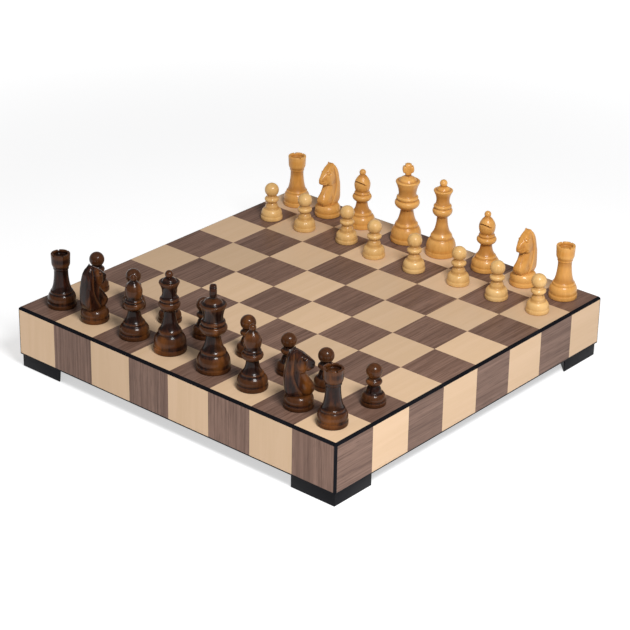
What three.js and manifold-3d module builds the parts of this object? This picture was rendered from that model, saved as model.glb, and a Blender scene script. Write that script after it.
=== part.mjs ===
import * as THREE from 'three';
import { mergeVertices } from 'three/addons/utils/BufferGeometryUtils.js';
import Module from 'manifold-3d';

const wasm = await Module();
wasm.setup();

// All lengths in millimetres. +Z is up, the dark side sits along the -Y edge.
const SQUARE = 47.5;
const BOARD = 8 * SQUARE;
const HALF = BOARD / 2;

const FOOT_HEIGHT = 13.2;
const FOOT_LEG = 48;
const FOOT_INSET = 2.2;
const FOOT_BLUNT = 1;

const BASE_EDGE = 1.2;
const BASE_THICK = 6;
const WALL_THICK = 12;
const BOX_HEIGHT = 47.1;
const CORNER_BEVEL = 1.5;

const STRIP_WIDTH = 2.4;
const STRIP_DEPTH = 2.4;
const STRIP_BEVEL = 2.1;
const PANEL_THICK = 5;
const PANEL_PLAY = 0.3;
const CORNER_STRIP = STRIP_WIDTH - PANEL_PLAY;

const BASE_Z = FOOT_HEIGHT;
const WALL_Z = BASE_Z + BASE_EDGE;
const TOP_Z = BASE_Z + BOX_HEIGHT;
const SEAM_Z = TOP_Z - STRIP_DEPTH;
const LEDGE_Z = TOP_Z - PANEL_THICK;
const PANEL_HALF = HALF - STRIP_WIDTH;

const PAWN_SIDES = 12;
const PIECE_SIDES = 16;
const CURVE_STEPS = 2;

// ---------------------------------------------------------------- materials

function wood(name, color, roughness) {
  const material = new THREE.MeshStandardMaterial({ color, roughness });
  material.name = name;
  return material;
}

const veneer = wood('veneer', 0xb99c84, 0.45);
const blackLacquer = wood('black_lacquer', 0x15161a, 0.3);
const darkWood = wood('dark_wood', 0x3a1d10, 0.25);
const lightWood = wood('light_wood', 0xd9a65c, 0.3);

// ------------------------------------------------------------------ helpers

const group = new THREE.Group();
group.name = 'chess_set';

function addPart(name, geometry, material) {
  const mesh = new THREE.Mesh(geometry, material);
  mesh.name = name;
  group.add(mesh);
}

function toSolid(geometry) {
  const bare = new THREE.BufferGeometry();
  bare.setAttribute('position', geometry.getAttribute('position'));
  bare.setIndex(geometry.getIndex());
  const merged = mergeVertices(bare, 1e-4);
  return new wasm.Manifold(new wasm.Mesh({
    numProp: 3,
    vertProperties: new Float32Array(merged.getAttribute('position').array),
    triVerts: new Uint32Array(merged.getIndex().array),
  }));
}

function fromSolid(solid) {
  const mesh = solid.getMesh();
  const geometry = new THREE.BufferGeometry();
  geometry.setAttribute('position', new THREE.BufferAttribute(mesh.vertProperties, 3));
  geometry.setIndex(new THREE.BufferAttribute(mesh.triVerts, 1));
  return geometry;
}

function box(sizeX, sizeY, sizeZ, x, y, z) {
  return new THREE.BoxGeometry(sizeX, sizeY, sizeZ).translate(x, y, z);
}

// An upright prism between two heights from a list of [x, y] corners.
function prism(corners, lowZ, highZ) {
  const shape = new THREE.Shape(corners.map(([x, y]) => new THREE.Vector2(x, y)));
  const geometry = new THREE.ExtrudeGeometry(shape, { depth: highZ - lowZ, bevelEnabled: false });
  return geometry.translate(0, 0, lowZ);
}

// One side of a square frame, mitred at both ends, on the -Y side.
// The section is a list of [distance from the centre, height] corners.
function frameSide(section) {
  const shape = new THREE.Shape(section.map(([out, z]) => new THREE.Vector2(out, z)));
  const geometry = new THREE.ExtrudeGeometry(shape, { depth: 2, bevelEnabled: false });
  const position = geometry.getAttribute('position');
  for (let i = 0; i < position.count; i += 1) {
    const out = position.getX(i);
    const end = 1 - position.getZ(i);
    position.setXYZ(i, end * out, -out, position.getY(i));
  }
  return geometry;
}

// A turned outline: [r, z] is a straight run, [control r, control z, r, z] a curve.
function turn(outline, sides) {
  const path = new THREE.Path();
  path.moveTo(0, outline[0][1]);
  for (const run of outline) {
    if (run.length === 2) {
      path.lineTo(run[0], run[1]);
    } else {
      path.quadraticCurveTo(run[0], run[1], run[2], run[3]);
    }
  }
  return new THREE.LatheGeometry(path.getPoints(CURVE_STEPS), sides).rotateX(Math.PI / 2);
}

// The runs of a ball that stands on a neck and closes at its pole.
function ball(radius, centreZ, neck, steps) {
  const start = -Math.acos(neck / radius);
  const runs = [];
  for (let i = 0; i < steps; i += 1) {
    const angle = start + (Math.PI / 2 - start) * i / steps;
    runs.push([radius * Math.cos(angle), centreZ + radius * Math.sin(angle)]);
  }
  runs.push([0, centreZ + radius]);
  return runs;
}

// -------------------------------------------------------------------- board

// The corners of a square whose own corners are cut off.
function bluntSquare(half, cut) {
  const flat = half - cut;
  return [
    [flat, -half], [half, -flat], [half, flat], [flat, half],
    [-flat, half], [-half, flat], [-half, -flat], [-flat, -half],
  ];
}

function makeBasePanel() {
  const outline = bluntSquare(HALF, CORNER_BEVEL);
  const flange = toSolid(prism(outline, BASE_Z, BASE_Z + BASE_EDGE));
  const inner = BOARD - 2 * WALL_THICK;
  const floor = toSolid(box(inner, inner, BASE_THICK, 0, 0, BASE_Z + BASE_THICK / 2));
  return fromSolid(flange.add(floor));
}

function makeWall() {
  const ledge = PANEL_HALF + PANEL_PLAY;
  const inner = HALF - WALL_THICK;
  const section = [
    [HALF, WALL_Z], [HALF, SEAM_Z], [ledge, SEAM_Z],
    [ledge, LEDGE_Z], [inner, LEDGE_Z], [inner, WALL_Z],
  ];
  let wall = toSolid(frameSide(section));
  for (const side of [-1, 1]) {
    const at = HALF - CORNER_STRIP / 2;
    const notch = box(CORNER_STRIP, CORNER_STRIP, BOARD, side * at, -at, 0);
    wall = wall.subtract(toSolid(notch));
  }
  return fromSolid(wall);
}

function makeCornerStrip() {
  const inner = HALF - CORNER_STRIP;
  const flat = HALF - CORNER_BEVEL;
  const corners = [[inner, inner], [HALF, inner], [HALF, flat], [flat, HALF], [inner, HALF]];
  return prism(corners, WALL_Z, SEAM_Z);
}

// A corner block, a right triangle in plan with blunt tips. Its long side faces inwards.
function makeFoot() {
  const out = HALF - FOOT_INSET;
  const end = out - FOOT_LEG;
  const corners = [[out, out], [end, out], [end, out - FOOT_BLUNT], [out - FOOT_BLUNT, end], [out, end]];
  return prism(corners, 0, FOOT_HEIGHT);
}

// The piece that is cut off the right-hand or left-hand end of an edge strip.
function makeBevelCut(side) {
  const flat = HALF - CORNER_BEVEL;
  const past = HALF + 1;
  const corners = [[flat, -HALF], [flat, -past], [past, -past], [past, -flat], [HALF, -flat]];
  const turned = side > 0 ? corners : corners.map(([x, y]) => [-x, y]).reverse();
  return toSolid(prism(turned, SEAM_Z - 1, TOP_Z + 1));
}

function makeEdgeStrip() {
  let strip = toSolid(frameSide([
    [PANEL_HALF, SEAM_Z], [HALF, SEAM_Z], [HALF, TOP_Z - STRIP_BEVEL],
    [HALF - STRIP_BEVEL, TOP_Z], [PANEL_HALF, TOP_Z],
  ]));
  for (const side of [-1, 1]) {
    strip = strip.subtract(makeBevelCut(side));
  }
  return fromSolid(strip);
}

function addBoard() {
  const sides = ['south', 'east', 'north', 'west'];
  const corners = ['ne', 'nw', 'sw', 'se'];
  addPart('base_panel', makeBasePanel(), blackLacquer);
  for (let i = 0; i < 4; i += 1) {
    const quarter = i * Math.PI / 2;
    addPart(`wall_${sides[i]}`, makeWall().rotateZ(quarter), veneer);
    addPart(`corner_strip_${corners[i]}`, makeCornerStrip().rotateZ(quarter), blackLacquer);
    addPart(`foot_${corners[i]}`, makeFoot().rotateZ(quarter), blackLacquer);
    addPart(`edge_strip_${sides[i]}`, makeEdgeStrip().rotateZ(quarter), blackLacquer);
  }
  const panelZ = TOP_Z - PANEL_THICK / 2;
  addPart('top_panel', box(2 * PANEL_HALF, 2 * PANEL_HALF, PANEL_THICK, 0, 0, panelZ), veneer);
}

// ------------------------------------------------------------------- pieces
// Each piece is drawn standing on height 0 and facing +X.

function makePawn() {
  return turn([
    [10.8, 0], [10.9, 3.6], [10.4, 4.2],
    [10.9, 7.8, 8.4, 10.4], [6.8, 11.4],
    [6.3, 15.4, 4.5, 17.3],
    [6.9, 19.4], [7.1, 21.4], [4.9, 23.9],
    ...ball(7.05, 30.5, 4.6, 5),
  ], PAWN_SIDES);
}

function makeRook() {
  const top = 52;
  const tower = turn([
    [13.2, 0], [13.3, 4], [12.7, 4.8],
    [13.6, 9.4, 11.2, 13], [10.5, 13.6], [10.5, 15.2], [9.4, 16.2],
    [7, 21.5, 6.5, 32.5],
    [6.6, 36.4], [7.2, 37.2], [7.2, 38.6],
    [8.5, 41.4], [8.9, top], [6.5, top], [6.3, top - 3.4], [0, top - 3.4],
  ], PIECE_SIDES);
  let solid = toSolid(tower);
  for (let i = 0; i < 3; i += 1) {
    const slot = box(24, 1.3, 2.4, 0, 0, top).rotateZ(i * Math.PI / 3 + Math.PI / 2);
    solid = solid.subtract(toSolid(slot));
  }
  return fromSolid(solid);
}

function makeBishop() {
  const body = turn([
    [13.6, 0], [13.7, 4], [13.1, 4.8],
    [14, 9, 10.6, 12.4], [9.9, 13], [9.9, 14.6], [8.8, 15.6],
    [5.8, 19, 5.5, 26],
    [8.9, 28.6], [9.5, 30.8], [9, 32.8], [7.4, 33.8],
    [7.6, 35.8], [6.4, 36.8],
    [7.9, 40.4, 7.95, 43.8], [7.9, 48.6, 2.8, 53.8],
    ...ball(3.3, 56.2, 2.4, 3),
  ], PIECE_SIDES);
  const slit = box(16, 24, 1.1, 0, 0, 0).rotateY(-Math.PI / 5).translate(9.4, 0, 49.4);
  return fromSolid(toSolid(body).subtract(toSolid(slit)));
}

function makeQueen() {
  return turn([
    [14.8, 0], [14.9, 4.4], [14.3, 5.2],
    [14.9, 12, 11.4, 16.6], [10.4, 17.4], [10.4, 20], [9.2, 21.8],
    [5.6, 26.4, 5.1, 38.8],
    [8.9, 42], [9.6, 44.8], [9.2, 47], [8, 48],
    [8.6, 50.2], [7.2, 51.8],
    [4.9, 57.6, 9.2, 65.2], [9.3, 66.2], [8.1, 66.9], [6.6, 66.5],
    [5.8, 69.4, 2.4, 70.4],
    ...ball(3.7, 73, 2.2, 3),
  ], PIECE_SIDES);
}

const KING_CROWN_Z = 67.2;

function makeKing() {
  return turn([
    [15.2, 0], [15.3, 4.2], [14.7, 5],
    [15.3, 10.8, 11.8, 15.6], [11.2, 16.4], [11.2, 18.2], [10, 19.6],
    [7.2, 24, 6.2, 33.2],
    [11.2, 36.8], [12.2, 40], [11.8, 42.2], [9.9, 43.2],
    [10.6, 45.4], [8.8, 47.6],
    [8, 53, 11.8, 61.2], [11.9, 62.2], [10.6, 63], [9, 62.6],
    [7.4, 66.2, 4.3, KING_CROWN_Z], [0, KING_CROWN_Z],
  ], PIECE_SIDES);
}

// A thick round-cornered cross, in the plane that faces the opponent.
function makeKingCross() {
  const reach = 5.7;
  const waist = 3;
  const thick = 6.5;
  const armAngle = 0.593;
  const centre = 7.1;
  const shape = new THREE.Shape();
  for (let i = 0; i < 4; i += 1) {
    const turnBy = i * Math.PI / 2 - Math.PI / 2;
    const from = turnBy - armAngle;
    const start = [reach * Math.cos(from), reach * Math.sin(from)];
    if (i === 0) {
      shape.moveTo(start[0], start[1]);
    } else {
      shape.lineTo(start[0], start[1]);
    }
    shape.absarc(0, 0, reach, from, turnBy + armAngle);
    const inner = turnBy + Math.PI / 4;
    shape.lineTo(waist * Math.SQRT2 * Math.cos(inner), waist * Math.SQRT2 * Math.sin(inner));
  }
  const options = { depth: thick, bevelEnabled: false, curveSegments: 3 };
  const arms = new THREE.ExtrudeGeometry(shape, options).translate(0, 0, -thick / 2);
  arms.scale(1, 1.08, 1).rotateX(Math.PI / 2).rotateZ(Math.PI / 2).translate(0, 0, centre);
  const stem = turn([[3.9, 0], [3.1, 1.6], [3.2, 3.4], [0, 3.4]], 10);
  return fromSolid(toSolid(arms).add(toSolid(stem))).translate(0, 0, KING_CROWN_Z);
}

const KNIGHT_BASE_Z = 12.3;

function makeKnightBase() {
  return turn([
    [13, 0], [13.1, 3.8], [12.5, 4.6],
    [13.3, 8.8, 10.9, 11.2], [10.2, KNIGHT_BASE_Z], [0, KNIGHT_BASE_Z],
  ], PIECE_SIDES);
}

// Sections of the horse's head from the neck up: [height, back x, front x, half width].
const KNIGHT_SECTIONS = [
  [KNIGHT_BASE_Z, -9.8, 10, 6], [14, -11.4, 11.8, 7.2], [17, -12.6, 13, 7.4],
  [20, -13, 12.6, 7.3], [25, -13, 9.6, 7], [29, -12.9, 6.9, 6.9],
  [33, -12.6, 5.2, 6.8], [34.6, -12.4, 9.6, 6.7], [36.4, -12.1, 12.8, 6.5],
  [40.6, -11.5, 13.3, 6.3], [42.6, -11.1, 11.9, 6.1], [46.4, -10.2, 7.7, 5.4],
  [49, -9, 4.8, 4.6], [51.3, -7.5, 1.6, 3.7], [53.5, -5, -2.1, 2.2],
];
const SECTION_SIDES = 20;
const SECTION_SQUARE = 0.45;
const EAR_LENGTH = 4.8;

// How much the front of the neck is narrowed: a little at the chest, by half at the throat.
function neckChamfer(z) {
  return THREE.MathUtils.mapLinear(THREE.MathUtils.clamp(z, 18, 26), 18, 26, 0.22, 0.5);
}

// One section, a rectangle with well rounded corners, narrowed towards the muzzle.
function knightSection([z, back, front, halfWidth]) {
  const points = [];
  const bulge = (value) => Math.sign(value) * Math.abs(value) ** SECTION_SQUARE;
  for (let i = 0; i < SECTION_SIDES; i += 1) {
    const angle = 2 * Math.PI * (i + 0.5) / SECTION_SIDES;
    const x = (back + front) / 2 + (front - back) / 2 * bulge(Math.cos(angle));
    const narrow = z > 33.5
      ? 0.5 * THREE.MathUtils.smoothstep(x, 1, 13)
      : neckChamfer(z) * THREE.MathUtils.clamp(x / front, 0, 1);
    points.push([x, halfWidth * (1 - narrow) * bulge(Math.sin(angle)), z]);
  }
  return points;
}

// A closed skin over a stack of sections that all have the same number of points.
function loft(sections) {
  const sides = sections[0].length;
  const positions = sections.flat(2);
  const faces = [];
  for (let row = 0; row + 1 < sections.length; row += 1) {
    for (let i = 0; i < sides; i += 1) {
      const low = row * sides;
      const next = (i + 1) % sides;
      faces.push(low + i, low + next, low + sides + next);
      faces.push(low + i, low + sides + next, low + sides + i);
    }
  }
  const lastRow = (sections.length - 1) * sides;
  for (let i = 1; i + 1 < sides; i += 1) {
    faces.push(0, i + 1, i);
    faces.push(lastRow, lastRow + i, lastRow + i + 1);
  }
  const geometry = new THREE.BufferGeometry();
  geometry.setAttribute('position', new THREE.Float32BufferAttribute(positions, 3));
  geometry.setIndex(faces);
  return geometry;
}

function makeKnightHead() {
  let head = toSolid(loft(KNIGHT_SECTIONS.map(knightSection)));
  for (const side of [-1, 1]) {
    const ear = new THREE.ConeGeometry(1.6, EAR_LENGTH, 6).rotateX(Math.PI / 2);
    ear.rotateY(-0.12).translate(-3.2, side * 2.1, 50.4 + EAR_LENGTH / 2);
    head = head.add(toSolid(ear));
  }
  return fromSolid(head);
}

// ------------------------------------------------------------------- layout
// Every piece stands near the middle of its square; nudges are [x, y] off it.

const FILES = ['a', 'b', 'c', 'd', 'e', 'f', 'g', 'h'];

const BACK_RANK = {
  dark: ['rook', 'knight', 'bishop', 'queen', 'king', 'bishop', 'knight', 'rook'],
  light: ['rook', 'knight', 'bishop', 'king', 'queen', 'bishop', 'knight', 'rook'],
};

const BACK_NUDGE = {
  dark: [[3.5, 6.3], [-1, 6], [1, 6.5], [-4, 8], [1, 7.5], [1, 5], [5, 6], [-2, 2]],
  light: [[5, -4.1], [-1.6, -3.9], [-7.4, -1.3], [0, 0.5], [-3, -1.5], [2.1, -0.5], [0.6, -2.6], [-3, -0.8]],
};

const PAWN_NUDGE = {
  dark: [[3, 4], [6, 1], [3, 2], [-1, 1], [4, 1], [5.5, -1], [0, -1], [0.5, 4.5]],
  light: [[11.2, -1.4], [5, 1], [7.3, 6.1], [0.9, -2.3], [1.7, -1.4], [2.9, 3.8], [0.6, 2.9], [-2, 5.2]],
};

const KNIGHT_HEADING = {
  dark: [85, 48],
  light: [-88, -88],
};

const SIDES = {
  dark: { material: darkWood, backRow: 0, pawnRow: 1, crossTurn: 42 },
  light: { material: lightWood, backRow: 7, pawnRow: 6, crossTurn: -45 },
};

function place(geometry, file, row, nudge, heading) {
  const x = (file - 3.5) * SQUARE + nudge[0];
  const y = (row - 3.5) * SQUARE + nudge[1];
  return geometry.rotateZ(THREE.MathUtils.degToRad(heading)).translate(x, y, TOP_Z);
}

function addBackPiece(side, file) {
  const kind = BACK_RANK[side][file];
  const { material, backRow, crossTurn } = SIDES[side];
  const nudge = BACK_NUDGE[side][file];
  const heading = side === 'dark' ? 90 : -90;
  const put = (geometry, turned) => place(geometry, file, backRow, nudge, turned);
  const name = `${side}_${kind}`;
  const letter = FILES[file];
  if (kind === 'rook') {
    addPart(`${name}_${letter}`, put(makeRook(), heading), material);
  } else if (kind === 'bishop') {
    addPart(`${name}_${letter}`, put(makeBishop(), heading), material);
  } else if (kind === 'queen') {
    addPart(name, put(makeQueen(), heading), material);
  } else if (kind === 'king') {
    addPart(name, put(makeKing(), heading), material);
    addPart(`${name}_cross`, put(makeKingCross(), crossTurn), material);
  } else {
    const headTurn = KNIGHT_HEADING[side][file === 1 ? 0 : 1];
    addPart(`${name}_base_${letter}`, put(makeKnightBase(), heading), material);
    addPart(`${name}_head_${letter}`, put(makeKnightHead(), headTurn), material);
  }
}

function addPieces() {
  for (const side of ['dark', 'light']) {
    for (let file = 0; file < 8; file += 1) {
      addBackPiece(side, file);
      const pawn = place(makePawn(), file, SIDES[side].pawnRow, PAWN_NUDGE[side][file], 0);
      addPart(`${side}_pawn_${FILES[file]}`, pawn, SIDES[side].material);
    }
  }
}

addBoard();
addPieces();

export default group;
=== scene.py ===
import math

import bpy
import numpy as np
from mathutils import Matrix, Vector


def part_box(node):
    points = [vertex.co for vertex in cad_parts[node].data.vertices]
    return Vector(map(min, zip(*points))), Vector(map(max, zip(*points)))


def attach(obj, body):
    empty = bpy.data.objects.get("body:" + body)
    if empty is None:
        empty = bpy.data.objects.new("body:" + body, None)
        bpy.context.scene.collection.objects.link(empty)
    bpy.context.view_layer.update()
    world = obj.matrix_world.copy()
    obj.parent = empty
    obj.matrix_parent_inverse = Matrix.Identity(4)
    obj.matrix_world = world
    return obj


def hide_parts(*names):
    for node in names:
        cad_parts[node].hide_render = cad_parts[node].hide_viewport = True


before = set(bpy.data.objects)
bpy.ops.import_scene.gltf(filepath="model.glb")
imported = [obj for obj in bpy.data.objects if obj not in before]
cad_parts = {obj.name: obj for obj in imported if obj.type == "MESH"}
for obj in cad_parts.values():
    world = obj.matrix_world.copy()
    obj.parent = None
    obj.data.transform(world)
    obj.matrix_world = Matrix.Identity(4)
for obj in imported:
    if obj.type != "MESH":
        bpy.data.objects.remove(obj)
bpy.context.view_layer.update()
mm = 0.001

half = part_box("base_panel")[1].x        # half the board's width
square = 2 * half / 8                   # pitch of the playing squares
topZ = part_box("top_panel")[1].z         # the playing surface
sides = ("south", "east", "north", "west")
corners = ("ne", "nw", "sw", "se")
print("board", round(2 * half, 4), "square", round(square, 5), "playing surface at", round(topZ, 4))


# ---- camera, lights and floor

cameraLook = {
    "target": (0.0204, -0.0198, 0.0603),   # point on the playing surface that the lens axis meets
    "azimuth": 40.39,                      # degrees round from the dark side towards the +X side
    "elevation": 25.99,
    "distance": 2.038,
    "roll": 0.99,
    "lens": 128.5, "sensor": 36,           # millimetres
    "clip": (0.05, 30),
}


def wayOut(azimuthDegrees, elevationDegrees):
    # the direction outwards from the board; azimuth 0 points over the dark side
    azimuth, elevation = math.radians(azimuthDegrees), math.radians(elevationDegrees)
    return Vector((math.sin(azimuth) * math.cos(elevation),
                   -math.cos(azimuth) * math.cos(elevation), math.sin(elevation)))


def placeCamera(look):
    outward = wayOut(look["azimuth"], look["elevation"])
    data = bpy.data.cameras.new("setCamera")
    data.lens = look["lens"]
    data.sensor_width = look["sensor"]
    data.clip_start, data.clip_end = look["clip"]
    camera = bpy.data.objects.new("setCamera", data)
    bpy.context.collection.objects.link(camera)
    turn = outward.to_track_quat("Z", "Y").to_matrix().to_4x4()
    camera.matrix_world = (Matrix.Translation(Vector(look["target"]) + look["distance"] * outward)
                           @ turn @ Matrix.Rotation(math.radians(look["roll"]), 4, "Z"))
    bpy.context.scene.camera = camera


placeCamera(cameraLook)

lightLook = {
    "worldTone": (1.0, 1.0, 1.0), "worldStrength": 0.27,
    "key": {"power": 17.0, "size": 0.4, "azimuth": 61, "elevation": 48, "distance": 1.35},
    "fill": {"power": 1.5, "size": 1.2, "azimuth": -30, "elevation": 50, "distance": 1.8},
}


def addSoftLight(name, look):
    outward = wayOut(look["azimuth"], look["elevation"])
    data = bpy.data.lights.new(name, "AREA")
    data.shape = "SQUARE"
    data.size = look["size"]
    data.energy = look["power"]
    light = bpy.data.objects.new(name, data)
    bpy.context.collection.objects.link(light)
    light.matrix_world = (Matrix.Translation(Vector((0, 0, topZ)) + look["distance"] * outward)
                          @ outward.to_track_quat("Z", "Y").to_matrix().to_4x4())


def lightTheSet(look):
    world = bpy.data.worlds.new("paleStudio")
    world.use_nodes = True
    background = world.node_tree.nodes["Background"]
    background.inputs["Color"].default_value = (*look["worldTone"], 1)
    background.inputs["Strength"].default_value = look["worldStrength"]
    bpy.context.scene.world = world
    for part in ("key", "fill"):
        addSoftLight(part + "Light", look[part])
    bpy.context.scene.view_settings.view_transform = "Standard"


lightTheSet(lightLook)
print("camera and lights placed")


# ---- small helpers for node trees

def newMaterial(name):
    material = bpy.data.materials.new(name)
    material.use_nodes = True
    tree = material.node_tree
    tree.nodes.clear()
    output = tree.nodes.new("ShaderNodeOutputMaterial")
    shader = tree.nodes.new("ShaderNodeBsdfPrincipled")
    tree.links.new(shader.outputs[0], output.inputs[0])
    return material, tree, shader


def feed(tree, socket, value):
    # a socket is linked, a plain number or colour is set
    if isinstance(value, bpy.types.NodeSocket):
        tree.links.new(value, socket)
    elif isinstance(value, (tuple, list)) and len(value) == 3 and socket.type == "RGBA":
        socket.default_value = (*value, 1)
    else:
        socket.default_value = value


def calc(tree, operation, first, second=0.0, third=0.0):
    node = tree.nodes.new("ShaderNodeMath")
    node.operation = operation
    for socket, value in zip(node.inputs, (first, second, third)):
        feed(tree, socket, value)
    return node.outputs[0]


def combine(tree, x, y, z):
    node = tree.nodes.new("ShaderNodeCombineXYZ")
    for socket, value in zip(node.inputs, (x, y, z)):
        feed(tree, socket, value)
    return node.outputs[0]


def objectAxes(tree):
    place = tree.nodes.new("ShaderNodeTexCoord")
    split = tree.nodes.new("ShaderNodeSeparateXYZ")
    tree.links.new(place.outputs["Object"], split.inputs[0])
    return split.outputs[0], split.outputs[1], split.outputs[2]


def noise(tree, vector, scale, detail=3.0, roughness=0.55, distortion=0.0):
    node = tree.nodes.new("ShaderNodeTexNoise")
    feed(tree, node.inputs["Vector"], vector)
    for name, value in (("Scale", scale), ("Detail", detail), ("Roughness", roughness), ("Distortion", distortion)):
        feed(tree, node.inputs[name], value)
    return node.outputs[0]


def spread(tree, value, low, high, toLow=0.0, toHigh=1.0):
    # carries a value from one range to another, smoothly and clamped
    node = tree.nodes.new("ShaderNodeMapRange")
    node.interpolation_type = "SMOOTHSTEP"
    for name, number in (("Value", value), ("From Min", low), ("From Max", high),
                         ("To Min", toLow), ("To Max", toHigh)):
        feed(tree, node.inputs[name], number)
    return node.outputs[0]


def mixTone(tree, factor, first, second, kind="MIX"):
    node = tree.nodes.new("ShaderNodeMix")
    node.data_type = "RGBA"
    node.blend_type = kind
    feed(tree, node.inputs[0], factor)
    feed(tree, node.inputs[6], first)
    feed(tree, node.inputs[7], second)
    return node.outputs[2]


def bumpFrom(tree, height, strength, distance, under=None):
    node = tree.nodes.new("ShaderNodeBump")
    node.inputs["Strength"].default_value = strength
    node.inputs["Distance"].default_value = distance
    feed(tree, node.inputs["Height"], height)
    if under is not None:
        tree.links.new(under, node.inputs["Normal"])
    return node.outputs[0]


# ---- chequered veneer

veneerLook = {
    "mapleTone": (0.63, 0.435, 0.270), "mapleShade": (0.54, 0.355, 0.205), "mapleLight": (0.66, 0.46, 0.295),
    "walnutTone": (0.168, 0.094, 0.067), "walnutShade": (0.088, 0.046, 0.032), "walnutLight": (0.265, 0.158, 0.116),
    "plainTone": (0.42, 0.29, 0.17),    # bare wood inside the box
    "satin": 0.40, "coat": 0.10, "coatRoughness": 0.22, "shine": 0.2,
    "cellSlide": 7.3, "cellTint": (0.92, 1.07),
    # for each kind of streak: how fine across the grain and along it, detail and twist
    "grain": {"bands": (110, 6, 3.0, 0.5), "lines": (680, 12, 5.0, 0.0), "pores": (1500, 60, 2.0, 0.0),
              "flecks": (260, 120, 3.0, 0.0), "paleStreaks": (420, 9, 4.0, 0.3)},
}


def veneerMaterial(name, look, side=None):
    # Cells one square wide are counted from the board's corner. Where the two counts add to an even
    # number the cell is walnut. Each cell slides and tints the same grain by its own random amount.
    # side is None for the top, or the way a box side faces; a side is the next row of cells outside the top.
    material, tree, shader = newMaterial(name)
    x, y, z = objectAxes(tree)
    countX = calc(tree, "FLOOR", calc(tree, "DIVIDE", calc(tree, "ADD", x, half), square))
    countY = calc(tree, "FLOOR", calc(tree, "DIVIDE", calc(tree, "ADD", y, half), square))
    if side is None:
        shown = calc(tree, "GREATER_THAN", z, topZ - 0.0002)
        acrossGrain, alongGrain, depth = x, y, 0.0
    elif side in ("south", "north"):
        countY = -1.0 if side == "south" else 8.0
        shown = calc(tree, "GREATER_THAN", calc(tree, "ABSOLUTE", y), half - 0.0003)
        acrossGrain, alongGrain, depth = x, z, countY
    else:
        countX = -1.0 if side == "west" else 8.0
        shown = calc(tree, "GREATER_THAN", calc(tree, "ABSOLUTE", x), half - 0.0003)
        acrossGrain, alongGrain, depth = z, y, countX
    parity = calc(tree, "FLOORED_MODULO", calc(tree, "ADD", countX, countY), 2.0)
    isWalnut = calc(tree, "LESS_THAN", parity, 0.5)

    cell = tree.nodes.new("ShaderNodeTexWhiteNoise")
    feed(tree, cell.inputs["Vector"], combine(tree, countX, countY, depth))
    cellTint = cell.outputs["Value"]
    cellShift = calc(tree, "MULTIPLY", cellTint, look["cellSlide"])
    along = calc(tree, "ADD", alongGrain, cellShift)

    # grain lines are noise drawn out along the grain, finer lines over broader bands
    def grain(kind):
        fine, long, detail, twist = look["grain"][kind]
        spot = combine(tree, calc(tree, "MULTIPLY", acrossGrain, fine), calc(tree, "MULTIPLY", along, long), cellShift)
        return noise(tree, spot, 1.0, detail, 0.6, twist)

    bands, lines, pores, flecks, paleStreaks = [grain(kind) for kind in look["grain"]]

    maple = mixTone(tree, spread(tree, bands, 0.35, 0.7), look["mapleTone"], look["mapleLight"])
    maple = mixTone(tree, spread(tree, lines, 0.5, 0.78, 0, 0.18), maple, look["mapleShade"])
    maple = mixTone(tree, spread(tree, flecks, 0.58, 0.8, 0, 0.15), maple, look["mapleShade"])
    walnut = mixTone(tree, spread(tree, bands, 0.3, 0.75, 0, 0.7), look["walnutTone"], look["walnutLight"])
    walnut = mixTone(tree, spread(tree, lines, 0.42, 0.68, 0, 0.7), walnut, look["walnutShade"])
    walnut = mixTone(tree, spread(tree, pores, 0.52, 0.74, 0, 0.8), walnut, look["walnutShade"])
    walnut = mixTone(tree, spread(tree, paleStreaks, 0.56, 0.8, 0, 0.4), walnut, look["walnutLight"])

    tone = mixTone(tree, isWalnut, maple, walnut)
    tone = mixTone(tree, 1.0, tone, combine(tree, *[spread(tree, cellTint, 0, 1, *look["cellTint"])] * 3), "MULTIPLY")
    tone = mixTone(tree, shown, look["plainTone"], tone)
    feed(tree, shader.inputs["Base Color"], tone)

    rough = spread(tree, lines, 0.3, 0.8, look["satin"], look["satin"] + 0.14)
    feed(tree, shader.inputs["Roughness"], rough)
    shader.inputs["Coat Weight"].default_value = look["coat"]
    shader.inputs["Coat Roughness"].default_value = look["coatRoughness"]
    shader.inputs["Specular IOR Level"].default_value = look["shine"]
    seams = bumpFrom(tree, lines, 0.10, 0.0002)
    feed(tree, shader.inputs["Normal"], bumpFrom(tree, pores, 0.08, 0.0001, seams))
    return material


# ---- black lacquer on strips, feet and bottom

lacquerLook = {"tone": (0.004, 0.004, 0.006), "worn": (0.010, 0.010, 0.013), "satin": 0.4, "shine": 0.08}


def lacquerMaterial(name, look):
    material, tree, shader = newMaterial(name)
    x, y, z = objectAxes(tree)
    spot = combine(tree, x, y, calc(tree, "MULTIPLY", z, 2.0))
    cloud = noise(tree, spot, 38, 4, 0.6)
    specks = noise(tree, spot, 900, 2, 0.5)
    feed(tree, shader.inputs["Base Color"], mixTone(tree, spread(tree, cloud, 0.45, 0.85), look["tone"], look["worn"]))
    feed(tree, shader.inputs["Roughness"], spread(tree, cloud, 0.3, 0.8, look["satin"], look["satin"] + 0.15))
    feed(tree, shader.inputs["Normal"], bumpFrom(tree, specks, 0.12, 0.0001))
    shader.inputs["Specular IOR Level"].default_value = look["shine"]
    return material


# ---- turned and carved wood under gloss lacquer

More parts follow.
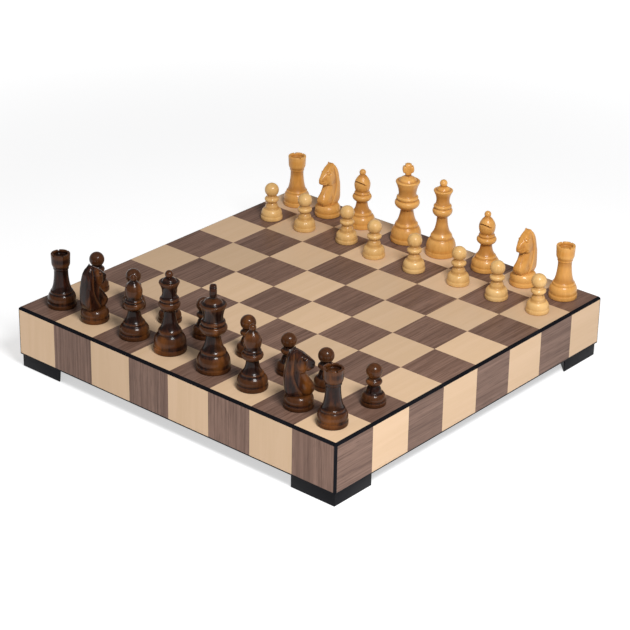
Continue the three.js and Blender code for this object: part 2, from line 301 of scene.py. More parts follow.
darkWoodLook = {
    "deep": (0.008, 0.0026, 0.0016), "body": (0.036, 0.0095, 0.0042), "amber": (0.25, 0.080, 0.012),
    # the edge tone paints highlight on convex edges; the tone after it is the pores' colour and painted shade in
    # grooves
    "edge": (0.13, 0.045, 0.012), "poreAndGrooveShade": (0.006, 0.002, 0.0012),
    "amberFrom": 0.54, "amberTo": 0.90, "edgeHighlightAmount": 0.35, "grooveShadeAmount": 0.55,
    "roughness": 0.34, "shine": 0.08, "coat": 0.6, "coatBend": 1.31, "coatRoughness": 0.045,
}
lightWoodLook = {
    "deep": (0.55, 0.245, 0.048), "body": (0.65, 0.305, 0.068), "amber": (0.72, 0.37, 0.10),
    "edge": (0.74, 0.43, 0.14), "poreAndGrooveShade": (0.34, 0.13, 0.025),
    "amberFrom": 0.42, "amberTo": 0.75, "edgeHighlightAmount": 0.25, "grooveShadeAmount": 0.5,
    "roughness": 0.36, "shine": 0.25, "coat": 0.35, "coatBend": 1.4, "coatRoughness": 0.14,
}

# the light pawns are a paler, less orange wood than the pieces behind them
palePawnLook = {**lightWoodLook, "deep": (0.58, 0.32, 0.095), "body": (0.67, 0.395, 0.140), "amber": (0.74, 0.46, 0.18),
                "edge": (0.78, 0.52, 0.23), "poreAndGrooveShade": (0.42, 0.20, 0.055)}


def turnedWoodMaterial(name, look, seed):
    # Streaks are noise drawn out along the upright grain. The edge attribute is above zero on
    # convex edges, which get a painted highlight, and below zero in grooves, which get painted shade.
    material, tree, shader = newMaterial(name)
    x, y, z = objectAxes(tree)
    upright = combine(tree, x, calc(tree, "ADD", y, seed), calc(tree, "MULTIPLY", z, 0.16))
    figure = noise(tree, combine(tree, x, calc(tree, "ADD", y, seed), calc(tree, "MULTIPLY", z, 0.55)), 48, 2, 0.5, 0.5)
    streaks = noise(tree, upright, 420, 4, 0.62, 0.4)
    pores = noise(tree, combine(tree, x, y, calc(tree, "MULTIPLY", z, 0.05)), 1900, 2, 0.5)
    edge = tree.nodes.new("ShaderNodeAttribute")
    edge.attribute_name = "edge"
    convex, hollow = spread(tree, edge.outputs["Fac"], 0.15, 1.0), spread(tree, edge.outputs["Fac"], -0.15, -0.9)

    tone = mixTone(tree, spread(tree, streaks, 0.35, 0.7), look["deep"], look["body"])
    patches = calc(tree, "MULTIPLY_ADD", streaks, 0.10, calc(tree, "MULTIPLY", figure, 0.95))
    tone = mixTone(tree, spread(tree, patches, look["amberFrom"], look["amberTo"]), tone, look["amber"])
    # painted highlight: convex edges and rings are lightened towards the edge tone
    tone = mixTone(tree, calc(tree, "MULTIPLY", convex, look["edgeHighlightAmount"]), tone, look["edge"])
    # painted shade: grooves and carved hollows are darkened towards the darkest tone
    tone = mixTone(tree, calc(tree, "MULTIPLY", hollow, look["grooveShadeAmount"]), tone, look["poreAndGrooveShade"])
    # real pores, darkened with that same darkest tone
    tone = mixTone(tree, spread(tree, pores, 0.58, 0.8, 0, 0.25), tone, look["poreAndGrooveShade"])
    feed(tree, shader.inputs["Base Color"], tone)
    feed(tree, shader.inputs["Roughness"], spread(tree, streaks, 0.3, 0.8, look["roughness"], look["roughness"] + 0.12))
    shader.inputs["Coat Weight"].default_value = look["coat"]
    shader.inputs["Coat IOR"].default_value = look["coatBend"]
    shader.inputs["Coat Roughness"].default_value = look["coatRoughness"]
    shader.inputs["Specular IOR Level"].default_value = look["shine"]
    feed(tree, shader.inputs["Normal"], bumpFrom(tree, streaks, 0.05, 0.0002))
    return material


topVeneer = veneerMaterial("topVeneer", veneerLook)
sideVeneer = {side: veneerMaterial(side + "SideVeneer", veneerLook, side) for side in sides}
blackLacquer = lacquerMaterial("blackLacquer", lacquerLook)
woods = {"dark": turnedWoodMaterial("darkWood", darkWoodLook, 0.0),
         "light": turnedWoodMaterial("lightWood", lightWoodLook, 3.1)}
pawnWoods = {"dark": woods["dark"],
             "light": turnedWoodMaterial("palePawnWood", palePawnLook, 5.2)}


def dressNode(node, material):
    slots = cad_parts[node].data.materials
    slots.clear()
    slots.append(material)


dressNode("top_panel", topVeneer)
dressNode("base_panel", blackLacquer)
for side in sides:
    dressNode("wall_" + side, sideVeneer[side])
for corner in corners:
    dressNode("corner_strip_" + corner, blackLacquer)
print("materials made")


# ---- meshes from whole arrays

crease = {"pieces": math.radians(50), "board": math.radians(40)}   # edges sharper than this stay sharp


def makePiece(name, points, faces, body, material, nodes, edge=None):
    mesh = bpy.data.meshes.new(name)
    mesh.from_pydata(points, [], faces)
    mesh.polygons.foreach_set("use_smooth", np.ones(len(mesh.polygons), bool))
    if edge is not None:
        layer = mesh.attributes.new("edge", "FLOAT", "POINT")
        layer.data.foreach_set("value", np.asarray(edge, np.float32))
    mesh.update()
    piece = bpy.data.objects.new(name, mesh)
    bpy.context.collection.objects.link(piece)
    mesh.materials.append(material)
    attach(piece, body)
    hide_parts(*nodes)
    return piece


def evenAngles(count):
    return np.arange(count) * 2 * math.pi / count


def gridFaces(rows, columns):
    # quads between neighbouring rings of points, with the last column joined to the first
    row, column = np.meshgrid(np.arange(rows - 1), np.arange(columns), indexing="ij")
    following = (column + 1) % columns
    corners = np.stack([row * columns + column, row * columns + following,
                        (row + 1) * columns + following, (row + 1) * columns + column], -1)
    return corners.reshape(-1, 4).tolist()


def capFaces(pole, ring, flip):
    # triangles from a pole to the ring of points round it
    pairs = np.stack([ring, np.roll(ring, -1)], -1)
    if flip:
        pairs = pairs[:, ::-1]
    return np.column_stack([np.full(len(ring), pole), pairs]).tolist()


def closedFaces(rows, columns):
    # a stack of rings, then the pole before the first ring and the pole after the last
    ring = np.arange(columns)
    return (gridFaces(rows, columns) + capFaces(rows * columns, ring, True)
            + capFaces(rows * columns + 1, ring + (rows - 1) * columns, False))


def smoothLine(values, reach, odd=False):
    # Running average with a bell-shaped weight. Past its ends the line is carried on by mirroring, and
    # an odd line, such as a radius that ends on the axis, changes sign there.
    weights = np.exp(-0.5 * (np.arange(-3 * reach, 3 * reach + 1) / reach) ** 2)
    weights /= weights.sum()
    n = 3 * reach
    before, after = values[1:n + 1][::-1], values[-n - 1:-1][::-1]
    padded = np.concatenate([-before, values, -after] if odd else [before, values, after])
    return np.convolve(padded, weights, "valid")


outlineLook = {"curveSteps": 25, "step": 0.5, "soften": 1, "broadSoften": 6, "fullEdge": 0.22}


def outlinePoints(runs, look):
    # The outline starts on the axis at the first run's height. Straight runs and three-point curves
    # are walked in even steps, then every corner is eased by the running average.
    line = [np.array([0.0, runs[0][1]])]
    for run in runs:
        begin = line[-1]
        if len(run) == 2:
            line.append(np.array(run, float))
        else:
            t = np.linspace(0, 1, look["curveSteps"])[1:, None]
            control, end = np.array(run[:2]), np.array(run[2:])
            line.extend((1 - t) ** 2 * begin + 2 * t * (1 - t) * control + t ** 2 * end)
    line = np.array(line)
    walked = np.concatenate([[0], np.cumsum(np.hypot(*np.diff(line, axis=0).T))])
    even = np.linspace(0, walked[-1], int(walked[-1] / look["step"]) + 1)
    r, z = np.interp(even, walked, line[:, 0]), np.interp(even, walked, line[:, 1])
    softR, softZ = smoothLine(r, look["soften"], True), smoothLine(z, look["soften"])
    softR[0] = softR[-1] = 0
    # how far each point stands out from a much smoother copy of the outline, along its normal
    broadR, broadZ = smoothLine(softR, look["broadSoften"], True), smoothLine(softZ, look["broadSoften"])
    alongR, alongZ = np.gradient(softR), np.gradient(softZ)
    length = np.hypot(alongR, alongZ) + 1e-9
    edge = ((softR - broadR) * alongZ - (softZ - broadZ) * alongR) / length
    # the result sets the wood's painted highlight on ridges and its painted shade in grooves
    return softR, softZ, np.clip(edge / look["fullEdge"], -1, 1)


def ballRuns(radius, centre, neck, steps=18):
    start = -math.acos(neck / radius)
    angles = np.linspace(start, math.pi / 2, steps)
    return [(radius * math.cos(a), centre + radius * math.sin(a)) for a in angles[:-1]] + [(0.0, centre + radius)]


def turnOutline(runs, angles, shape=None):
    # Lathe: a ring of points at every outline point, with one pole at each end on the axis.
    r, z, edge = outlinePoints(runs, outlineLook)
    ringR, ringZ = r[1:-1, None] + 0 * angles, z[1:-1, None] + 0 * angles
    if shape is not None:
        ringR, ringZ = shape(ringR, ringZ, angles)
    rings = np.stack([ringR * np.cos(angles), ringR * np.sin(angles), ringZ], -1)
    rows, columns = ringR.shape
    points = np.concatenate([rings.reshape(-1, 3), [[0, 0, z[0]], [0, 0, z[-1]]]])
    edges = np.concatenate([np.repeat(edge[1:-1], columns), [0, 0]])
    return points, closedFaces(rows, columns), edges


# ---- outlines of the turned pieces, in millimetres
# (radius, height) is a straight run, (control radius, control height, radius, height) a curve

pawnOutline = [
    (10.6, 0), (10.9, 0.5), (10.95, 3.6), (10.3, 4.2), (10.9, 7.8, 8.5, 10.4), (8.0, 10.9), (6.8, 11.3),
    (6.3, 15.4, 4.4, 17.4), (5.4, 18.3), (7.0, 19.4, 7.15, 20.9), (7.1, 22.0, 6.1, 22.8), (4.7, 24.0),
] + ballRuns(7.05, 30.5, 4.6)

rookTop = 52.0
rookWell = rookTop - 3.4                # floor of the hollow inside the battlements
rookOutline = [
    (12.9, 0), (13.3, 0.6), (13.35, 4), (12.7, 4.8), (13.6, 9.4, 11.2, 13), (10.5, 13.5), (10.6, 14.4),
    (10.4, 15.3), (9.4, 16), (7.0, 21.5, 6.5, 32.5), (6.5, 36.3), (7.2, 36.9), (7.3, 37.8), (7.1, 38.7),
    (8.3, 40.4, 8.5, 42), (8.9, rookTop), (6.5, rookTop), (6.3, rookWell), (0, rookWell),
]

bishopOutline = [
    (13.3, 0), (13.7, 0.6), (13.75, 4), (13.1, 4.8), (14.0, 9, 10.6, 12.3), (9.9, 12.8), (10.0, 13.7),
    (9.8, 14.7), (8.8, 15.4), (5.8, 19, 5.5, 26), (6.2, 26.7), (9.5, 28.4, 9.55, 30.9), (9.4, 33.2, 7.2, 33.7),
    (6.9, 34.0), (7.7, 34.5), (7.8, 35.3), (7.4, 36.2), (6.4, 36.8), (7.9, 40.4, 7.95, 43.8),
    (7.9, 48.6, 2.7, 53.8),
] + ballRuns(3.3, 56.2, 2.3)

queenOutline = [
    (14.5, 0), (14.9, 0.6), (14.95, 4.4), (14.3, 5.2), (14.9, 12, 11.4, 16.6), (10.5, 17.2), (10.6, 18.6),
    (10.2, 20.3), (9.2, 21.6), (5.6, 26.4, 5.1, 38.6), (6.0, 39.6), (9.6, 42.0, 9.65, 45),
    (9.6, 47.4, 7.9, 47.9), (7.6, 48.2), (8.6, 48.8), (8.8, 49.7), (8.4, 50.9), (7.1, 51.7),
    (4.9, 57.6, 9.1, 65.0), (9.35, 65.5), (9.3, 66.2), (8.2, 66.8), (7.2, 66.3), (6.6, 66.3),
    (5.8, 69.2, 2.5, 70.2),
] + ballRuns(3.7, 73.0, 2.2)

kingTop = (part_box("dark_king")[1].z - topZ) / mm
kingOutline = [
    (14.9, 0), (15.3, 0.6), (15.35, 4.2), (14.7, 5), (15.3, 10.8, 11.9, 15.6), (11.1, 16.2), (11.3, 17.3),
    (11.1, 18.5), (10.0, 19.5), (7.2, 24, 6.2, 33.2), (7.0, 33.9), (12.1, 36.4, 12.25, 39.9),
    (12.2, 42.6, 9.7, 43.0), (9.4, 43.4), (10.6, 44.1), (10.8, 45.2), (10.3, 46.6), (8.8, 47.5),
    (8.0, 53, 11.7, 61.0), (11.95, 61.6), (11.9, 62.3), (10.7, 63), (9.4, 62.5), (8.8, 62.6),
    (7.6, 66.0, 4.4, 66.6), (4.3, kingTop), (0, kingTop),
]

knightBaseTop = (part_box("dark_knight_base_b")[1].z - topZ) / mm
knightBaseOutline = [
    (12.6, 0), (13.1, 0.6), (13.15, 3.8), (12.5, 4.6), (13.4, 8.8, 11.1, 11.2), (10.6, 11.9),
    (10.1, knightBaseTop), (0, knightBaseTop),
]


# ---- carving on the turned pieces

rookCarving = {
    "notches": 6, "notchHalfWidth": 0.65, "notchDepth": 1.2,
    "rimMiddle": 7.6, "rimFrom": 6.0,      # radii of the battlements
    "segments": 60, "firstAngle": 0.01, "wallSpread": 0.012,
}


def rookAngles(look):
    # even angles, with a close pair on each notch edge so that its walls stand straight
    even = evenAngles(look["segments"]) + look["firstAngle"]
    halfGap, apart = look["notchHalfWidth"] / look["rimMiddle"], look["wallSpread"]
    pair = np.array([-halfGap - apart, -halfGap + apart, halfGap - apart, halfGap + apart])
    walls = (evenAngles(look["notches"])[:, None] + pair).ravel()
    return np.sort(np.unique(np.concatenate([even, walls % (2 * math.pi)]).round(6)))


def cutNotches(r, z, angles):
    # points of the rim that stand above a notch floor are lowered to it between the notch's walls
    look = rookCarving
    pitch = 2 * math.pi / look["notches"]
    fromNotch = np.abs((angles + pitch / 2) % pitch - pitch / 2)
    inside = (fromNotch * look["rimMiddle"] < look["notchHalfWidth"]) & (r > look["rimFrom"])
    return r, np.where(inside, np.minimum(z, rookTop - look["notchDepth"]), z)


crossLook = {
    "reach": 5.7, "waist": 4.7, "halfThick": 3.25, "centre": 7.1, "height": 6.15,
    "notchFrom": 0.02, "notchTo": 0.16, "rimPower": 0.42, "facePower": 0.55, "edge": 0.4,
}


def crossPoints(look, rows=41, columns=96):
    # A cross in polar form: its outline reaches far on the four arms and less between them. The section
    # from rim to face is a rounded rectangle, so the faces are nearly flat and the edges are eased.
    angle = evenAngles(columns)
    arms = np.cos(2 * angle) ** 2
    arms = np.clip((arms - look["notchFrom"]) / (look["notchTo"] - look["notchFrom"]), 0, 1)
    arms = arms * arms * (3 - 2 * arms)
    outline = look["waist"] + (look["reach"] - look["waist"]) * arms
    tilt = np.linspace(-math.pi / 2, math.pi / 2, rows)[1:-1, None]
    reach = np.abs(np.cos(tilt)) ** look["rimPower"]
    thick = look["halfThick"] * np.sign(np.sin(tilt)) * np.abs(np.sin(tilt)) ** look["facePower"]
    y = reach * outline * np.sin(angle)
    z = reach * outline * np.cos(angle) * look["height"] / look["reach"] + look["centre"]
    x = thick + 0 * y
    points = np.concatenate([np.stack([x, y, z], -1).reshape(-1, 3),
                             [[-look["halfThick"], 0, look["centre"]], [look["halfThick"], 0, look["centre"]]]])
    # the arms get a painted highlight in the wood material
    edge = np.concatenate([(arms * look["edge"] * reach).ravel(), [0, 0]])
    return points, [face[::-1] for face in closedFaces(rows - 2, columns)], edge


# ---- the horse's head

knightLook = {
    "rows": 190, "columns": 150, "squareness": 0.42,
    # height against the back, the front, the half width and the mane's edge, in millimetres
    "back": [(12.3, -9.8), (14, -11.4), (16, -12.4), (18.5, -12.9), (22.5, -13), (28, -12.9), (34, -12.4),
             (40, -11.6), (44, -10.8), (47, -9.9), (49.5, -8.7), (51.3, -7.4), (52.6, -6.2), (53.8, -4.6)],
    "front": [(12.3, 10), (13.5, 11.4), (15.5, 12.6), (17.5, 13.1), (20, 12.6), (22, 11.5), (25, 9.6),
              (28, 7.5), (30.5, 6.0), (32.6, 5.1), (33.8, 5.6), (34.3, 8.2), (35, 10.6), (36, 12.3),
              (37.2, 13.1), (40.6, 13.3), (41.8, 12.6), (43.5, 10.9), (46.5, 7.6), (49, 4.8), (50.5, 2.9),
              (51.3, 1.6), (52.2, 0.3), (53.1, -1), (53.8, -2.6)],
    "halfWidth": [(12.3, 6.0), (14, 7.2), (16, 7.4), (20, 7.3), (28, 6.9), (36, 6.6), (42, 6.2), (46, 5.4),
                  (50, 4.2), (52, 3.4), (53.8, 2.0)],
    "maneEdge": [(12.3, 3.0), (16, 1.2), (20, -1.2), (26, -3.8), (32, -5.2), (38, -5.2), (44, -4.6), (49, -4.2),
                 (54, -4.0)],
    # heights and depths of the carving
    "maneStep": 0.8, "hollowDepth": 0.5, "cheekHeight": 0.4, "lidDepth": 0.8, "eyeHeight": 0.45, "pupilDepth": 0.4,
    "nostrilDepth": 0.75, "mouthDepth": 0.55, "jawDepth": 1.5, "lockHeight": 0.05,
    # places, forward of the axis and above the board
    "eyeAt": (4.4, 46.2), "cheekAt": (2.0, 42.0), "nostrilAt": (11.4, 39.2), "jawAt": (6.0, 34.4), "mouthHeight": 36.6,
    "lidRadius": 1.65, "lockPitch": 1.9, "pollRise": 0.25, "edgeReach": 7, "fullEdge": 0.3,
}


def easeIn(value, low, high):
    t = np.clip((value - low) / (high - low), 0, 1)
    return t * t * (3 - 2 * t)


def dent(distance, reach):
    # full at the middle of a hollow or a bump, and fading out over its reach
    return np.exp(-(distance / reach) ** 2)


def sawnSection(columns, squareness):
    # A rectangle with rounded corners: cosine and sine drawn towards 1 by a power, walked in even steps
    # for a section about twice as long as it is wide.
    angle = np.linspace(0, 2 * math.pi, 4001)
    forward = np.sign(np.cos(angle)) * np.abs(np.cos(angle)) ** squareness
    sideways = np.sign(np.sin(angle)) * np.abs(np.sin(angle)) ** squareness
    walked = np.concatenate([[0], np.cumsum(np.hypot(1.8 * np.diff(forward), np.diff(sideways)))])
    even = np.arange(columns) * walked[-1] / columns
    return np.interp(even, walked, forward), np.interp(even, walked, sideways)


def smoothGrid(field, reach):
    # average over a small window, down the rows and round the columns
    rows = np.pad(field, ((reach, reach), (0, 0)), mode="edge")
    total = np.cumsum(np.vstack([np.zeros((1, rows.shape[1])), rows]), 0)
    down = (total[2 * reach + 1:] - total[:-2 * reach - 1]) / (2 * reach + 1)
    columns = np.pad(down, ((0, 0), (reach, reach)), mode="wrap")
    total = np.cumsum(np.hstack([np.zeros((columns.shape[0], 1)), columns]), 1)
    return (total[:, 2 * reach + 1:] - total[:, :-2 * reach - 1]) / (2 * reach + 1)


def headForm(look):
    # A stack of level sections from the neck to the poll. A section runs from the back line to the front
    # line. Its half width comes from the height and is drawn in towards the throat and the muzzle.
    heights = np.linspace(look["back"][0][0], look["back"][-1][0], look["rows"])
    spacing = heights[1] - heights[0]

    def along(name, reach):
        knots = np.array(look[name])
        line = np.interp(heights, knots[:, 0], knots[:, 1])
        soft = smoothLine(line, max(1, int(reach / spacing)))
        soft[0], soft[-1] = line[0], line[-1]
        return soft[:, None]

    back, front, halfWidth = along("back", 0.9), along("front", 0.30), along("halfWidth", 1.2)
    middle = (back + front) / 2
    forward, sideways = sawnSection(look["columns"], look["squareness"])
    x = middle + (front - back) / 2 * forward
    z = heights[:, None] + 0 * x
    towardsFront = np.clip(x / np.maximum(front, 1), 0, 1)
    throat = (0.22 + 0.28 * easeIn(z, 18, 26)) * towardsFront * easeIn(-z, -34.4, -33.2)
    muzzle = 0.55 * easeIn(x, 1.5, 13.4) * easeIn(z, 33.2, 34.4)
    width = halfWidth * (1 - (muzzle + throat))
    poles = [[middle[0, 0], 0, heights[0]], [middle[-1, 0], 0, heights[-1] + look["pollRise"]]]
    return x, z, width, sideways, along("maneEdge", 1.5), poles


def carveHead(look, x, z, width, mane):
    # The half width with the carving in it: the step at the mane's edge, the hollow of the neck, the cheek,
    # the eye with its lid and pupil, the nostril, the mouth, the jaw and the locks of the mane.
    behind = mane - x                                     # distance behind the mane's edge
    width = width + look["maneStep"] * (easeIn(behind, -0.25, 0.45) - 0.5) * easeIn(-z, -53, -49)
    fall = dent(x - mane - 3.4, 2.3) * easeIn(z, 14.5, 21) * easeIn(-z, -40, -32)
    width = width - look["hollowDepth"] * fall
    cheekX, cheekZ = look["cheekAt"]
    fromCheek = np.hypot((x - cheekX) / 5.0, (z - cheekZ) / 6.2)
    width = width + look["cheekHeight"] * easeIn(-fromCheek, -1.08, -0.86)
    eyeX, eyeZ = look["eyeAt"]
    fromEye = np.hypot(x - eyeX, (z - eyeZ) * 1.08)
    width = width - look["lidDepth"] * dent(fromEye - look["lidRadius"], 0.45)
    width = width + look["eyeHeight"] * dent(fromEye, 0.85)
    width = width - look["pupilDepth"] * dent(fromEye, 0.34)
    nostrilX, nostrilZ = look["nostrilAt"]
    width = width - look["nostrilDepth"] * dent(np.hypot(x - nostrilX, (z - nostrilZ) * 1.3), 0.75)
    lip = z - (look["mouthHeight"] + 0.10 * (13 - x))     # the mouth is a shallow cut that rises to the cheek
    width = width - look["mouthDepth"] * dent(lip, 0.34) * easeIn(x, 7.6, 8.8)
    jawX, jawZ = look["jawAt"]
    width = width - look["jawDepth"] * dent(np.hypot(x - jawX, z - jawZ), 1.2)
    locks = np.sin(x * 2 * math.pi / look["lockPitch"] + 0.6 * np.sin(z / 7))
    return width + look["lockHeight"] * locks * easeIn(behind, 0.6, 2.2) * easeIn(z, 19, 24)


def headPoints(look):
    x, z, width, sideways, mane, poles = headForm(look)
    width = carveHead(look, x, z, width, mane)
    rings = np.stack([x, width * sideways, z], -1)
    # carved hollows such as the pupil, nostril, mouth and jaw get painted shade; raised parts get a painted highlight
    edge = np.clip((width - smoothGrid(width, look["edgeReach"])) / look["fullEdge"], -1, 1)
    return (np.concatenate([rings.reshape(-1, 3), poles]), closedFaces(*x.shape),
            np.concatenate([edge.ravel(), [0, 0]]))


earLook = {
    "length": 4.8, "width": 1.5, "thick": 1.1, "hollow": 0.45,
    "foot": (-3.4, 1.9, 50.4), "lean": 0.08, "splay": 0.08, "edge": 0.2,
}


def earPoints(look, sign, rows=26, columns=28):
    # A leaf: its section swells and closes to a point along its length, and its front is scooped out.
    t = np.linspace(0.02, 0.985, rows)[:, None]
    swell = np.sin(math.pi * (0.22 + 0.78 * t)) ** 0.8
    angle = evenAngles(columns)
    across = look["width"] * swell * np.sin(angle)
    scoop = look["hollow"] * dent(across, 0.55 * look["width"] * swell + 1e-6) * easeIn(np.cos(angle), 0.2, 0.9)
    deep = look["thick"] * swell * np.cos(angle) - scoop * easeIn(t, 0.35, 0.6) * easeIn(-t, -0.98, -0.8)
    up = look["length"] * t + 0 * angle
    footX, footY, footZ = look["foot"]
    x = footX + deep + look["lean"] * up
    y = sign * (footY + look["splay"] * up) + across
    root = [footX, sign * footY, footZ]
    tip = [footX + look["lean"] * look["length"], sign * (footY + look["splay"] * look["length"]),
           footZ + look["length"]]
    rings = np.stack([x, y, footZ + up], -1)
    return np.concatenate([rings.reshape(-1, 3), [root, tip]]), closedFaces(rows, columns)


def headWithEars(look, ears):
    points, faces, edge = headPoints(look)
    for sign in (-1, 1):
        earAt, earFaces = earPoints(ears, sign)
        faces += [[corner + len(points) for corner in face] for face in earFaces]
        points = np.concatenate([points, earAt])
        # the ears get a painted highlight all over
        edge = np.concatenate([edge, np.full(len(earAt), ears["edge"])])
    return points, faces, edge


def turnAbout(points, degrees):
    a = math.radians(degrees)
    spin = np.array([[math.cos(a), -math.sin(a), 0], [math.sin(a), math.cos(a), 0], [0, 0, 1]])
    return points @ spin.T


def stand(points, at, degrees=0.0):
    # from a piece's own millimetres to its place on the board
    return turnAbout(points, degrees) * mm + np.array([at[0], at[1], topZ])


def standingPlace(node):
    low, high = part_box(node)
    return (low.x + high.x) / 2, (low.y + high.y) / 2


# ---- the chess pieces

setLook = {
    "files": "abcdefgh",
    "backRank": {"dark": ["rook", "knight", "bishop", "queen", "king", "bishop", "knight", "rook"],
                 "light": ["rook", "knight", "bishop", "king", "queen", "bishop", "knight", "rook"]},
    "facing": {"dark": 90, "light": -90},
    "knightHeading": {"dark": {"b": 85, "g": 48}, "light": {"b": -88, "g": -88}},
    "crossTurn": {"dark": 42, "light": -45},
}

shapes = {
    "pawn": turnOutline(pawnOutline, evenAngles(52)),
    "rook": turnOutline(rookOutline, rookAngles(rookCarving), cutNotches),
    "bishop": turnOutline(bishopOutline, evenAngles(60)),
    "queen": turnOutline(queenOutline, evenAngles(60)),
    "king": turnOutline(kingOutline, evenAngles(64)),
    "knightBase": turnOutline(knightBaseOutline, evenAngles(60)),
    "cross": crossPoints(crossLook),
    "head": headWithEars(knightLook, earLook),
}
print("outlines turned:", {name: len(shape[1]) for name, shape in shapes.items()})

slitLook = {"tilt": -36, "reachIn": 9.4, "height": 49.4, "thick": 0.9, "plate": (8, 12)}


def cutSlit(piece, look, at, degrees):
    # a thin plate is taken out of the bishop's head, on a slant, and the cut is then made real
    plate = bpy.data.meshes.new("slitPlate")
    far, wide = look["plate"]
    sheet = np.array([[-far, -wide, 0], [far, -wide, 0], [far, wide, 0], [-far, wide, 0]], float)
    block = np.concatenate([sheet - [0, 0, look["thick"] / 2], sheet + [0, 0, look["thick"] / 2]])
    a = math.radians(look["tilt"])
    lean = np.array([[math.cos(a), 0, math.sin(a)], [0, 1, 0], [-math.sin(a), 0, math.cos(a)]])
    block = block @ lean.T + [look["reachIn"], 0, look["height"]]
    rim = [(i, (i + 1) % 4, (i + 1) % 4 + 4, i + 4) for i in range(4)]
    plate.from_pydata(stand(block, at, degrees), [], [(3, 2, 1, 0), (4, 5, 6, 7)] + rim)
    cutter = bpy.data.objects.new("slitPlate", plate)
    bpy.context.collection.objects.link(cutter)
    cut = piece.modifiers.new("slit", "BOOLEAN")
    cut.operation, cut.solver, cut.object = "DIFFERENCE", "EXACT", cutter
    graph = bpy.context.evaluated_depsgraph_get()
    carved = bpy.data.meshes.new_from_object(piece.evaluated_get(graph))
    piece.modifiers.clear()
    piece.data = carved
    bpy.data.objects.remove(cutter)
    carved.polygons.foreach_set("use_smooth", np.ones(len(carved.polygons), bool))
    carved.set_sharp_from_angle(angle=crease["pieces"])


def addTurned(kind, side, node, body, degrees):
    points, faces, edge = shapes[kind]
    wood = pawnWoods[side] if kind == "pawn" else woods[side]
    return makePiece(node + "_turned", stand(points, standingPlace(node), degrees), faces, body,
                     wood, [node], edge)


def addCarved(kind, side, node, body, at, degrees, lift=0.0):
    points, faces, edge = shapes[kind]
    return makePiece(node + "_carved", stand(points + [0, 0, lift], at, degrees), faces, body,
                     woods[side], [node], edge)


for side in ("dark", "light"):
    facing = setLook["facing"][side]
    for letter, kind in zip(setLook["files"], setLook["backRank"][side]):
        name = f"{side}_{kind}" if kind in ("queen", "king") else f"{side}_{kind}_{letter}"
        if kind == "knight":
            base = f"{side}_knight_base_{letter}"
            addTurned("knightBase", side, base, name, facing)
            addCarved("head", side, f"{side}_knight_head_{letter}", name, standingPlace(base),
                      setLook["knightHeading"][side][letter])
        else:
            piece = addTurned(kind, side, name, name, facing)
        if kind == "bishop":
            cutSlit(piece, slitLook, standingPlace(name), facing)
        if kind == "rook":
            piece.data.set_sharp_from_angle(angle=crease["pieces"])
        if kind == "king":
            addCarved("cross", side, name + "_cross", name, standingPlace(name),
                      setLook["crossTurn"][side], kingTop)
        pawn = f"{side}_pawn_{letter}"
        addTurned("pawn", side, pawn, pawn, 0)
    print(side, "pieces set up")


# ---- edge strips and feet with eased edges

stripLook = {"bevel": 2.1, "cornerBevel": 1.5, "ease": 0.24}
footLook = {"blunt": 1.0, "rounding": 0.3, "ease": 0.35, "steps": 4}


def easedCorner(before, corner, after, reach):
    # a sharp corner of an outline becomes a short three-point curve
    before, corner, after = np.array(before), np.array(corner), np.array(after)
    start = corner + (before - corner) * reach / np.linalg.norm(before - corner)
    end = corner + (after - corner) * reach / np.linalg.norm(after - corner)
    t = np.linspace(0, 1, 5)[:, None]
    return (1 - t) ** 2 * start + 2 * t * (1 - t) * corner + t ** 2 * end


def stripPoints(look, inner, outer, low, high):
    # Section of one strip, from the inside bottom round the eased bevel to the inside top. The ends are
    # mitred as far as the middle of the box's corner bevel and follow the bevel from there outwards.
    bevel, middle, ease = look["bevel"] * mm, outer - look["cornerBevel"] * mm / 2, look["ease"] * mm
    slopeAtMiddle = high - bevel + (outer - middle)
    lowerCorner = easedCorner((outer, low), (outer, high - bevel), (middle, slopeAtMiddle), ease)
    upperCorner = easedCorner((middle, slopeAtMiddle), (outer - bevel, high), (inner, high), ease)
    section = np.concatenate([[(inner, low), (middle, low), (outer, low)], lowerCorner, [(middle, slopeAtMiddle)],
                              upperCorner, [(inner, high)]])
    outs, ups = section.T
    reach = np.minimum(outs, 2 * outer - look["cornerBevel"] * mm - outs)
    ends = np.array([-1.0, 1.0])[:, None]
    points = np.stack([ends * reach, -outs + 0 * ends, ups + 0 * ends], -1)
    return points.reshape(-1, 3), len(outs), 3 + len(lowerCorner)


def addEdgeStrip(side, quarter):
    nodeLow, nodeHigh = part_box("edge_strip_south")
    points, count, middle = stripPoints(stripLook, -nodeHigh.y, -nodeLow.y, nodeLow.z, nodeHigh.z)
    around = np.arange(count)
    faces = np.stack([around, np.roll(around, -1), np.roll(around, -1) + count, around + count], -1)[:, ::-1].tolist()
    for end in (np.concatenate([[0, 1], around[middle:]]), around[1:middle + 1]):
        faces += [end.tolist(), (end[::-1] + count).tolist()]
    piece = makePiece(f"edge_strip_{side}_eased", turnAbout(points, 90 * quarter), faces, "playing_top",
                      blackLacquer, [f"edge_strip_{side}"])
    piece.data.set_sharp_from_angle(angle=crease["board"])


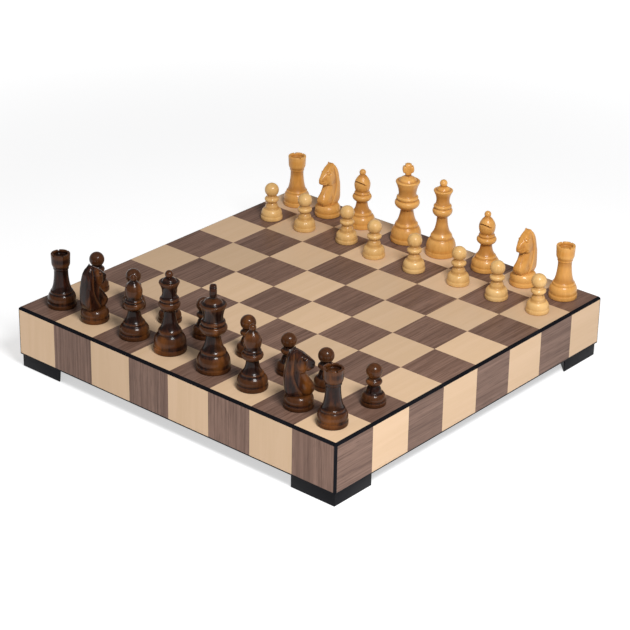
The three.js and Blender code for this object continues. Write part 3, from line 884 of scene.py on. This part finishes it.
def footPoints(low, high, look):
    # A corner block seen from above is a right triangle with blunt tips. Each ring is that outline with
    # small arcs at its corners; the rings near the floor are drawn in on a quarter round.
    blunt, rounding, ease = look["blunt"] * mm, look["rounding"] * mm, look["ease"] * mm
    outline = np.array([(high[0], high[1]), (low[0], high[1]), (low[0], high[1] - blunt),
                        (high[0] - blunt, low[1]), (high[0], low[1])])
    edges = np.roll(outline, -1, 0) - outline
    outward = np.column_stack([edges[:, 1], -edges[:, 0]]) / np.linalg.norm(edges, axis=1)[:, None]
    before = np.roll(outward, 1, 0)
    inwards = -(before + outward) / (1 + (before * outward).sum(1))[:, None]
    start = np.arctan2(before[:, 1], before[:, 0])
    turn = np.arctan2(before[:, 0] * outward[:, 1] - before[:, 1] * outward[:, 0], (before * outward).sum(1))
    a = start[:, None] + turn[:, None] * np.linspace(0, 1, look["steps"])
    arcs = rounding * np.stack([np.cos(a), np.sin(a)], -1)
    quarterRound = np.linspace(0, math.pi / 2, look["steps"])
    levels = [(ease * (1 - math.sin(b)), low[2] + ease * (1 - math.cos(b))) for b in quarterRound]
    rings = []
    for inset, z in levels + [(0.0, high[2])]:
        ring = (outline + inwards * (inset + rounding))[:, None] + arcs
        rings.append(np.column_stack([ring.reshape(-1, 2), np.full(ring.shape[0] * ring.shape[1], z)]))
    return np.array(rings)


def addFoot(corner, quarter):
    # every foot is the north-east one turned by quarters
    rings = footPoints(*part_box("foot_ne"), footLook)
    rows, columns = rings.shape[:2]
    sole, head = list(range(columns))[::-1], list(range((rows - 1) * columns, rows * columns))
    faces = gridFaces(rows, columns) + [sole, head]
    piece = makePiece(f"foot_{corner}_eased", turnAbout(rings.reshape(-1, 3), 90 * quarter), faces, "case",
                      blackLacquer, ["foot_" + corner])
    piece.data.set_sharp_from_angle(angle=crease["board"])


for quarter, side in enumerate(sides):
    addEdgeStrip(side, quarter)
for quarter, corner in enumerate(corners):
    addFoot(corner, quarter)
print("strips and feet eased")


# ---- floor

floorLook = {
    "tone": (0.60, 0.60, 0.605), "size": 30.0,
    "glowNear": 0.58, "glowFar": 1.05, "glowFrom": 0.5, "glowTo": 1.5,
}


def addFloor(look):
    # a plain pale sheet that is lit a little from within, more so further out, like a studio sweep
    s = look["size"] / 2
    mesh = bpy.data.meshes.new("studioFloor")
    mesh.from_pydata([(-s, -s, 0), (s, -s, 0), (s, s, 0), (-s, s, 0)], [], [(0, 1, 2, 3)])
    floor = bpy.data.objects.new("studioFloor", mesh)
    bpy.context.collection.objects.link(floor)
    material, tree, shader = newMaterial("paleFloor")
    x, y, z = objectAxes(tree)
    feed(tree, shader.inputs["Base Color"], look["tone"])
    feed(tree, shader.inputs["Roughness"], spread(tree, noise(tree, combine(tree, x, y, z), 3, 2), 0.3, 0.7, 0.62, 0.7))
    away = calc(tree, "SQRT", calc(tree, "ADD", calc(tree, "MULTIPLY", x, x), calc(tree, "MULTIPLY", y, y)))
    glow = spread(tree, away, look["glowFrom"], look["glowTo"], look["glowNear"], look["glowFar"])
    feed(tree, shader.inputs["Emission Strength"], glow)
    shader.inputs["Emission Color"].default_value = (1, 1, 1, 1)
    mesh.materials.append(material)


addFloor(floorLook)
